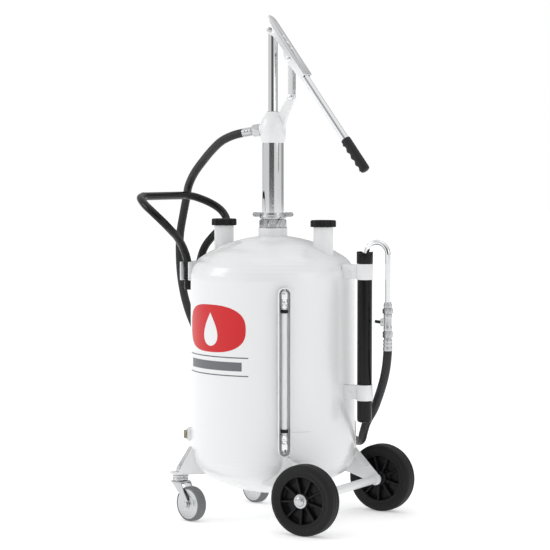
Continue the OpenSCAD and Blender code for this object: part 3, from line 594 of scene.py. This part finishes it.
def neck_bead(side):
    """The weld bead where a filler neck meets the tank's crown: it follows the crown's sphere."""
    centre = middle_mm(f"filler_neck_{side}")
    top = box_mm("tank_shell")[1][2]
    crown = 307.2
    angle = np.linspace(0, TAU, 96, endpoint=False)
    x = centre[0] + 23.3 * np.cos(angle)
    y = 23.3 * np.sin(angle)
    z = top - crown + np.sqrt(crown ** 2 - x ** 2 - y ** 2) + 0.3
    path = np.stack([x, y, z], -1)
    ripple = 2.0 + 0.18 * np.sin(40 * angle)
    out = np.stack([np.cos(angle), np.sin(angle), np.zeros(96)], -1)
    ring = circle(12)
    bulge = ring[None, :, :1] * out[:, None] + ring[None, :, 1:] * UP
    return grid(path[:, None] + ripple[:, None, None] * bulge, wrap_u=True)


for side in ("rear", "front"):
    filler_cap(side)
piece("neck_beads", [neck_bead("rear"), neck_bead("front")], "trolley", "white_enamel")


# ---------------------------------------------------------------- wheels
def big_wheel(side):
    """A solid tyre with stepped side walls, and a moulded rim: a dished web and nine ribs on each face."""
    centre = middle_mm(f"wheel_tyre_{side}")
    wall = [[59, 17.5], [62, 18.6], [66, 18.6], [67, 19.6], [71, 19.8], [72, 18.9], [75, 18.4], [78.4, 15.6],
            [79.6, 12], [80, 7.2], [79.2, 6.4], [79.2, 5.0], [80, 4.2], [80, 0]]
    half = soften(wall, 0.7, 3)
    loop = np.concatenate([half, (half * (1, -1))[::-1]])
    tyre = lathe(loop, centre, SIDEWAYS, 160)
    piece(f"wheel_tyre_{side}", tyre, f"wheel_{side}", "tyre_rubber", [f"wheel_tyre_{side}"])
    ring = soften_loop([[52, -4], [53, -17.5], [60, -18.6], [60, 18.6], [53, 17.5], [52, 4], [50, 3],
                        [50, -3]], 1.0, 3)
    web = soften_loop([[16, -3], [51, -3], [51, 3], [16, 3]], 0.5, 2)
    hub = soften_loop([[8.1, -19.6], [15, -19.6], [17.5, -16], [17.5, 16], [15, 19.6], [8.1, 19.6]], 1.4, 4)
    step = soften_loop([[17, -6], [23, -4], [23, 4], [17, 6]], 0.8, 3)
    shapes = [lathe(s, centre, SIDEWAYS, 120) for s in (ring, web, hub, step)]
    ribs = 9
    for face in (-1, 1):
        inner, outer = sorted((2 * face, 15.4 * face))
        rib = block(centre + arr(15, inner, -2.1), centre + arr(53.5, outer, 2.1), 0.9)
        shapes += [turned(rib, centre, SIDEWAYS, TAU * k / ribs + 0.25) for k in range(ribs)]
    piece(f"wheel_rim_{side}", shapes, f"wheel_{side}", "black_plastic", [f"wheel_rim_{side}"])


def axle_caps():
    """A washer and a domed push-on cap at each end of the axle rod."""
    low, high = box_mm("axle_caps")
    face = (high[1] - low[1]) / 2 - 7
    profile = soften([[0, face - 0.4], [15.8, face - 0.4], [15.8, face + 1.4], [10.8, face + 1.8],
                      [10.4, face + 5.6], [7, face + 7.4], [0, face + 8.0]], 1.2, 4)
    shape = lathe(profile, middle_mm("axle_caps"), SIDEWAYS, 72, False)
    piece("axle_caps", [shape, mirrored(shape)], "trolley", "zinc_plate", ["axle_caps"])


for side in ("right", "left"):
    big_wheel(side)
axle_caps()

# ---------------------------------------------------------------- casters
CASTER_TURN = {"right": math.radians(-15), "left": math.radians(-18)}
STEM_X, STEM_Y = 163, 147


def caster(side):
    """A dished steel disc on each face of a grey tread, and a pressed fork that wraps over the wheel."""
    centre = middle_mm(f"caster_tyre_{side}")
    turn = CASTER_TURN[side]
    axle = arr(-math.sin(turn), math.cos(turn), 0)
    tread = soften_loop([[30, -11.2], [36.6, -12.3], [39, -10.8], [40, -7.4], [40, 7.4], [39, 10.8],
                         [36.6, 12.3], [30, 11.2]], 1.6, 4)
    tyre = lathe(tread, centre, axle, 120)
    piece(f"caster_tyre_{side}", tyre, f"caster_{side}", "caster_tread", [f"caster_tyre_{side}"])
    face = [[0, 12.6], [8.5, 12.6], [10, 11.2], [18, 10.2], [28, 11.4], [33, 12.2], [34.6, 11.6], [34.6, 10]]
    half = soften(face, 1.4, 4)
    disc = lathe(np.concatenate([half, (half * (1, -1))[::-1]]), centre, axle, 96, False)
    piece(f"caster_hub_{side}", disc, f"caster_{side}", "zinc_plate", [f"caster_hub_{side}"])


def caster_fork(side):
    """A pressed fork: two tapered cheeks under a crown, a two-part swivel race and the axle's bolt heads."""
    turn = CASTER_TURN[side]
    way = -1 if side == "right" else 1
    forward = arr(math.cos(turn), math.sin(turn), 0)
    beside = arr(-math.sin(turn), math.cos(turn), 0)
    stem = arr(-STEM_X, STEM_Y * way, 0)

    def place(q):
        """Points given as (forward, beside, up) from the floor under the stem."""
        return stem + q[:, :1] * forward + q[:, 1:2] * beside + q[:, 2:] * UP

    a = np.linspace(0.25, -math.pi - 0.25, 25)
    cheek = np.concatenate([soften([[30, 66], [18, 89], [-15, 89], [22, 53]], 3, 4),
                            np.stack([37 + 9 * np.cos(a[::-1]), 40 + 9 * np.sin(a[::-1])], -1)])
    shapes = []
    for hand in (-1, 1):
        shapes += sheet(cheek, 14, 16.5, lambda q: place(q[:, [0, 2, 1]] * (1, hand, 1)), edge=0.6)
        shapes.append(six_sided(14, NO_BORE, 16.5, 20.4, place(arr([37, 0, 40]))[0], hand * beside, 1.0))
    crown, quads = block([-17, -16.5, 86], [19, 16.5, 90], 1.4)
    shapes.append((place(crown), quads))
    race = soften([[6.1, 90], [15.5, 90], [18.5, 92.4], [18.5, 96.2], [17, 97.4], [17, 98.6], [18.5, 99.8],
                   [18.5, 103.4], [16.5, 105.6], [6.1, 105.6]], 0.9, 3)
    shapes.append(lathe(race, stem, UP, 80))
    piece(f"caster_fork_{side}", shapes, f"swivel_{side}", "zinc_plate", [f"caster_fork_{side}"])


def caster_bracket(side):
    """A plate with a round end, and a bent-up flange along each edge that rises to the tank."""
    way = -1 if side == "right" else 1
    turn = math.pi - way * math.atan2(STEM_Y, STEM_X)
    ahead = arr(math.cos(turn), math.sin(turn), 0)
    beside = arr(-math.sin(turn), math.cos(turn), 0)

    def place(q):
        """Points given as (ahead, beside, up) from the floor under the tank's middle."""
        return q[:, :1] * ahead + q[:, 1:2] * beside + q[:, 2:] * UP

    a = np.linspace(-math.pi / 2, math.pi / 2, 33)
    far = math.hypot(STEM_Y, STEM_X) + 3
    plate = np.concatenate([np.stack([far + 22 * np.cos(a), 22 * np.sin(a)], -1), [[160, 22], [160, -22]]])
    flange = soften([[168, 166], [168, 108], [far + 4, 108], [far + 4, 116], [196, 166]], 2.5, 4)
    shapes = sheet(plate, 106, 110, place, edge=0.9)
    for hand in (-1, 1):
        shapes += sheet(flange, 19, 22, lambda q: place(q[:, [0, 2, 1]] * (1, hand, 1)), edge=0.7)
    piece(f"caster_bracket_{side}", shapes, "trolley", "white_enamel", [f"caster_bracket_{side}"])


for side in ("right", "left"):
    caster(side)
    caster_fork(side)
    caster_bracket(side)

# ---------------------------------------------------------------- handle
HANDLE_HALF = [
    [-303, 85, 748], [-303, 88, 748], [-291, 119, 744], [-262, 143, 729], [-235, 149, 711],
    [-214, 139, 689], [-211, 112, 670], [-214, 80, 652], [-218, 50, 628], [-219, 32, 602],
    [-219, 25, 575], [-219, 25, 526],
]


def handle():
    """One bent tube: the push bar, two legs that fall to the tank, and two stubs with plugged ends."""
    half = np.array(HANDLE_HALF, float)
    whole = np.concatenate([(half * (1, -1, 1))[::-1], [[-303, 0, 748]], half])
    path = smooth(whole, 10)
    radius = np.full(len(path), 9.5)
    radius[[0, -1]] = 8.4
    tube = sweep(path, radius, circle(32), (1, 0, 0))
    piece("handle_tube", tube, "trolley", "black_enamel", ["handle_tube"])


def handle_bracket():
    """A plate on a welded spacer, a strap that clamps the two stubs to it, and hexagon bolts through both."""
    shapes = [block([-209.5, -42, 549], [-205.5, 42, 593], 1.2),
              block([-207, -28, 555], [-184, 28, 587], 1.2),
              block([-232.5, -42, 549], [-228.5, 42, 593], 1.2)]
    piece("handle_bracket", shapes, "trolley", "white_enamel", ["handle_bracket"])
    bolts = []
    for z in (560, 582):
        bolts += [six_sided(15, NO_BORE, 0, 4.8, [-232.5, 0, z], [-1, 0, 0], 1.0),
                  lathe([[0, -232.4], [4, -232.4], [4, -200], [0, -200]], [0, 0, z], [1, 0, 0], 32, False)]
    piece("handle_bolts", bolts, "trolley", "zinc_plate", ["handle_bolts"])


def drain():
    """A welded boss low on the tank, closed by a brass plug with a hexagon head and a sealing collar."""
    way = arr(math.cos(math.radians(210)), math.sin(math.radians(210)), 0)
    foot = 192 * UP
    boss = soften_loop([[10.1, 186], [17, 186], [17, 200], [10.1, 200]], 1.2, 3)
    piece("drain_boss", lathe(boss, foot, way, 72), "trolley", "white_enamel", ["drain_boss"])
    plug = soften([[0, 188], [10, 188], [10, 200], [13, 200.1], [13, 202], [0, 202]], 0.5, 3)
    shapes = [lathe(plug, foot, way, 64, False), six_sided(22, NO_BORE, 201.8, 209, foot, way, 1.4)]
    piece("drain_plug", shapes, "trolley", "brass_turned", ["drain_plug"])


handle()
handle_bracket()
drain()


# ---------------------------------------------------------------- nozzle and holder
def nozzle_tube():
    """A bent tube: up from the valve, over in half a circle and down inside the holder."""
    low, high = box_mm("nozzle_tube")
    r = 6.0
    x_in, x_out = low[0] + r, high[0] - r
    hook = (x_out - x_in) / 2
    top = high[2] - r - hook
    a = np.linspace(0, math.pi, 40)
    bend = np.stack([(x_in + x_out) / 2 + hook * np.cos(a), np.zeros(40), top + hook * np.sin(a)], -1)
    path = np.concatenate([[[x_out, 0, 499]], bend, [[x_in, 0, low[2]]]])
    piece("nozzle_tube", sweep(path, r, circle(28)), "trolley", "chrome_plate", ["nozzle_tube"])


def valve():
    """Nuts and a turned body in a row, with two ears that carry the trigger's pin."""
    base = [gun_x, 0, 0]
    low_nut = six_sided(23, 5, HOSE_END_Z, 447, base, UP, 1.2)
    profile = soften([[0, 446], [8.6, 446], [9.6, 449], [9.6, 456], [8.8, 458], [8.8, 476], [9.6, 478],
                      [9.6, 485], [8, 487], [0, 487]], 0.8, 3)
    body = lathe(profile, base, UP, 72, False)
    ears = [block([285, s * 5.4 - 1.1, 458.5], [297, s * 5.4 + 1.1, 475.5], 0.8) for s in (-1, 1)]
    heads = soften([[0, -7.4], [3.2, -7.4], [3.2, -6.4], [2, -6.4], [2, 6.4], [3.2, 6.4], [3.2, 7.4],
                    [0, 7.4]], 0.3, 2)
    pin = lathe(heads, [289, 0, 467], SIDEWAYS, 32, False)
    piece("gun_nut", low_nut, "trolley", "zinc_plate", ["gun_nut"])
    piece("gun_body", [body, *ears, pin], "trolley", "zinc_plate", ["gun_body"])
    top_nut = six_sided(24, 4, 486.6, 498.6, base, UP, 1.2)
    collar = six_sided(20, 4, 499, 509, base, UP, 1.2, 0.3)
    sleeve = lathe(soften([[5.9, 508], [8.2, 508], [8.2, 510.6], [7, 513], [5.9, 513]], 0.6, 3), base, UP, 48)
    piece("nozzle_nut", [top_nut, collar, sleeve], "trolley", "zinc_plate", ["nozzle_nut"])


def trigger():
    """A short moulded lever: a flattened bar that widens to a thumb pad."""
    path = smooth([[290, 0, 467], [284, 0, 467], [277, 0, 467.2], [271, 0, 468], [269, 0, 468.4]], 6)
    wide = np.interp(np.linspace(0, 1, len(path)), [0, 0.4, 0.85, 1], [3.7, 3.4, 3.9, 2.6])
    tall = np.interp(np.linspace(0, 1, len(path)), [0, 0.4, 0.85, 1], [4.2, 3.4, 3.2, 2.0])
    bar = sweep(path, np.stack([wide, tall], -1), soften_loop(SQUARE, 0.5, 3))
    piece("gun_trigger", bar, "trigger", "black_plastic", ["gun_trigger"])


def holder():
    """A tube with a closed end, a rim with a V notch that seats the nozzle, and two bands on tank struts."""
    middle = arr(242, 0, 0)
    tube = soften([[0, 236], [12, 236], [15.6, 238], [17, 242], [17, 622], [15, 622], [15, 240],
                   [0, 240]], 1.0, 4)
    piece("holder_tube", lathe(tube, middle, UP, 96, False), "trolley", "black_enamel", ["holder_tube"])
    a = np.linspace(0, TAU, 192, endpoint=False)
    foot = np.full(192, 599.0)
    top = np.minimum(626, 612 + 17.8 * abs(np.cos(a)))
    rows = [(17.1, foot), (18.2, foot), (18.6, foot + 0.6), (18.6, top - 0.8), (18.2, top), (17.4, top),
            (17.0, top - 0.8)]
    rim = np.array([middle + np.stack([r * np.cos(a), r * np.sin(a), z], -1) for r, z in rows])
    piece("holder_cap", grid(rim, wrap_u=True), "trolley", "black_plastic", ["holder_cap"])
    shapes = []
    head = soften([[0, 8.8], [3.6, 8.8], [3.2, 10.2], [0, 10.9]], 0.7, 3)
    for z in (562, 286):
        band = soften_loop([[17.1, z], [18.6, z], [18.6, z + 36], [17.1, z + 36]], 0.7, 3)
        shapes += [lathe(band, middle, UP, 96), block([187, -9, z + 2], [226, 9, z + 34], 1.4)]
        shapes += [lathe(head, [209, 0, z + 18], [0, way, 0], 32, False) for way in (-1, 1)]
    piece("holder_bands", shapes, "trolley", "white_enamel", ["holder_bands"])


nozzle_tube()
valve()
trigger()
holder()

# ---------------------------------------------------------------- level gauge
GAUGE_DIR = math.radians(-52.5)
gauge_out = arr(math.cos(GAUGE_DIR), math.sin(GAUGE_DIR), 0)
gauge_side = arr(-math.sin(GAUGE_DIR), math.cos(GAUGE_DIR), 0)
gauge_middle = 208 * gauge_out


def gauge_guard():
    """A pressed channel with round ends: its U section follows the outline of a slot."""
    z0, z1 = 168, 549
    r = 14.5
    a = np.linspace(0, math.pi, 25)
    top = np.stack([r * np.cos(a), z1 - r + r * np.sin(a)], -1)
    low = np.stack([-r * np.cos(a), z0 + r - r * np.sin(a)], -1)
    outline = np.concatenate([top, low])
    straight = np.clip(outline[:, 1], z0 + r, z1 - r)
    inward = np.stack([-outline[:, 0], straight - outline[:, 1]], -1) / r
    section = soften_loop([[0, 19], [2, 19], [2, 2], [14.2, 2], [14.2, 0], [0, 0]], 0.9, 3)
    flat = outline[None] + section[:, :1, None] * inward[None]
    depth = np.broadcast_to(197 + section[:, 1][:, None], flat.shape[:2])
    points = depth[..., None] * gauge_out + flat[..., :1] * gauge_side + flat[..., 1:] * UP
    piece("gauge_guard", grid(points, wrap_u=True), "trolley", "white_enamel", ["gauge_guard"])


def gauge_fittings():
    """A hexagon, a turned sleeve with a domed end and a stub to the tank at each end of the sight tube."""
    profile = soften([[0, 9], [8.6, 9], [8.6, 13], [7.2, 14], [7.2, 19], [8.8, 20], [8.8, 33], [7, 37.5],
                      [3.4, 40], [3.0, 44], [0, 44.5]], 1.0, 4)
    stub = [[0, 192], [5.4, 192], [5.4, 208], [0, 208]]
    shapes = []
    for z, way in ((503, 1), (219, -1)):
        spot = gauge_middle + z * UP
        shapes.append(six_sided(19, NO_BORE, 0, 10, spot, UP * way, 1.2))
        shapes.append(lathe(profile, spot, UP * way, 64, False))
        shapes.append(lathe(stub, (z + 28 * way) * UP, gauge_out, 40, False))
    piece("gauge_fittings", shapes, "trolley", "chrome_plate", ["gauge_fittings"])


def gauge_trim():
    """Two rubber rings on the sight tube, and two rivets in the guard's flange."""
    rings = []
    for z in (496, 227):
        ring = soften_loop([[6.6, z - 4], [8.4, z - 4], [8.4, z + 4], [6.6, z + 4]], 1.2, 3)
        rings.append(lathe(ring, gauge_middle, UP, 48))
    piece("gauge_rings", rings, "trolley", "black_plastic")
    head = soften([[0, 14.2], [3.0, 14.2], [2.4, 15.4], [0, 15.9]], 0.8, 3)
    heads = [lathe(head, 206 * gauge_out + z * UP, -gauge_side, 24, False) for z in (470, 312)]
    piece("guard_rivets", heads, "trolley", "zinc_plate")


gauge_guard()
gauge_fittings()
gauge_trim()


# ---------------------------------------------------------------- badge on the tank
TANK_R = 192.0
BADGE_DIR = math.radians(-107.4)


def on_tank(across_mm, up_mm, lift=0.25):
    """Points of a flat drawing wrapped round the tank: distance across becomes an angle."""
    a = BADGE_DIR + across_mm / TANK_R
    return np.stack([(TANK_R + lift) * np.cos(a), (TANK_R + lift) * np.sin(a), up_mm], -1)


def plaque():
    """A filled rounded plaque: a superellipse of power 2.6, as rings that shrink to its centre."""
    a = np.linspace(0, TAU, 160, endpoint=False)
    k = np.linspace(1, 0, 12)[:, None]
    power = 2 / 2.6
    x = 98 * np.sign(np.cos(a)) * abs(np.cos(a)) ** power
    z = 54 * np.sign(np.sin(a)) * abs(np.sin(a)) ** power
    return grid(on_tank(k * x, 452 + k * z))


def oil_drop():
    """A drop: a circle whose upper half is drawn out to a point by a sine."""
    a = np.linspace(0, TAU, 128, endpoint=False)
    k = np.linspace(1, 0, 10)[:, None]
    x = 31 * np.sin(a) * np.sin(a / 2) ** 1.2
    z = 38 * np.cos(a)
    return grid(on_tank(k * x, 450 + k * z, 0.4))


def rule(low, high, half):
    """A straight bar between two heights, as far to the left as to the right."""
    x = np.linspace(-half, half, 48)[None]
    z = np.array([[low], [high]], float)
    return grid(on_tank(x + 0 * z, z + 0 * x), wrap_v=False)


piece("badge_plaque", plaque(), "trolley", "white_enamel", material=red_print)
piece("badge_drop", oil_drop(), "trolley", "white_enamel")
rules = [rule(387, 389.5, 104), rule(358, 378, 88), rule(346, 348.5, 104)]
piece("badge_rules", rules, "trolley", "white_enamel", material=grey_print)


# ---------------------------------------------------------------- studio
def plain(name, colour, rough, glow):
    """One even colour that gives off a little white light."""
    made = bpy.data.materials.new(name)
    made.use_nodes = True
    shader = made.node_tree.nodes["Principled BSDF"]
    shader.inputs["Base Color"].default_value = (*colour, 1)
    shader.inputs["Roughness"].default_value = rough
    shader.inputs["Emission Color"].default_value = (1, 1, 1, 1)
    shader.inputs["Emission Strength"].default_value = glow
    return made


def studio():
    """A pale floor that glows a little, a room for the metal to mirror, and three soft boxes.

    The room is bright, with a dark card on the camera's side, a dimmer wall behind and a bright ceiling. The
    camera itself sees plain white instead of it."""
    a = np.linspace(0, TAU, 64, endpoint=False)
    mesh = bpy.data.meshes.new("floor")
    rim = np.stack([30 * np.cos(a), 30 * np.sin(a), 0 * a], -1)
    mesh.from_pydata(rim.tolist(), [], [list(range(64))])
    mesh.materials.append(plain("floor", (0.92, 0.92, 0.92), 0.8, 0.34))
    floor = bpy.data.objects.new("floor", mesh)
    bpy.context.scene.collection.objects.link(floor)

    bpy.context.scene.view_settings.view_transform = "Standard"
    world = bpy.data.worlds.new("studio")
    bpy.context.scene.world = world
    world.use_nodes = True
    nodes, links = world.node_tree.nodes, world.node_tree.links
    room = nodes["Background"]
    room.inputs["Strength"].default_value = 0.75
    way = nodes.new("ShaderNodeTexCoord")
    parts = nodes.new("ShaderNodeSeparateXYZ")
    links.new(way.outputs["Generated"], parts.inputs["Vector"])
    compass = nodes.new("ShaderNodeMath")
    compass.operation = "ARCTAN2"
    links.new(parts.outputs["Y"], compass.inputs[0])
    links.new(parts.outputs["X"], compass.inputs[1])
    share = nodes.new("ShaderNodeMapRange")
    share.inputs["From Min"].default_value = -math.pi
    share.inputs["From Max"].default_value = math.pi
    links.new(compass.outputs["Value"], share.inputs["Value"])
    walls = nodes.new("ShaderNodeValToRGB")
    stops = [(-180, 0.98), (-104, 0.98), (-97, 0.16), (-50, 0.14), (-43, 1.05), (38, 1.0), (46, 0.5),
             (116, 0.46), (126, 0.98)]
    for degrees, level in stops:
        stop = walls.color_ramp.elements.new((degrees + 180) / 360)
        stop.color = (level, level, level, 1)
    walls.color_ramp.elements.remove(walls.color_ramp.elements[-1])
    links.new(share.outputs["Result"], walls.inputs["Fac"])
    height = nodes.new("ShaderNodeMapRange")
    height.inputs["From Min"].default_value = 0.35
    height.inputs["From Max"].default_value = 0.70
    links.new(parts.outputs["Z"], height.inputs["Value"])
    ceiling = nodes.new("ShaderNodeMix")
    ceiling.data_type = "RGBA"
    ceiling.inputs["B"].default_value = (1.22, 1.22, 1.23, 1)
    links.new(height.outputs["Result"], ceiling.inputs["Factor"])
    links.new(walls.outputs["Color"], ceiling.inputs["A"])
    links.new(ceiling.outputs["Result"], room.inputs["Color"])
    backdrop = nodes.new("ShaderNodeBackground")
    backdrop.inputs["Color"].default_value = (1, 1, 1, 1)
    backdrop.inputs["Strength"].default_value = 1.0
    rays = nodes.new("ShaderNodeLightPath")
    choose = nodes.new("ShaderNodeMixShader")
    links.new(rays.outputs["Is Camera Ray"], choose.inputs["Fac"])
    links.new(room.outputs["Background"], choose.inputs[1])
    links.new(backdrop.outputs["Background"], choose.inputs[2])
    links.new(choose.outputs["Shader"], nodes["World Output"].inputs["Surface"])

    for name, spot, size, power in (("key", (-2.8, -1.9, 2.2), 1.6, 24), ("fill", (3.6, -0.6, 1.6), 1.4, 8),
                                    ("top", (0.2, 0.4, 3.6), 2.4, 8)):
        light = bpy.data.lights.new(name, "AREA")
        light.shape = "SQUARE"
        light.size = size
        light.energy = power
        lamp = bpy.data.objects.new(name, light)
        lamp.location = spot
        aim = unit(arr(0, 0, 0.55) - arr(*spot))
        lamp.rotation_euler = (math.acos(-aim[2]), 0, math.atan2(aim[1], aim[0]) - math.pi / 2)
        bpy.context.scene.collection.objects.link(lamp)


studio()
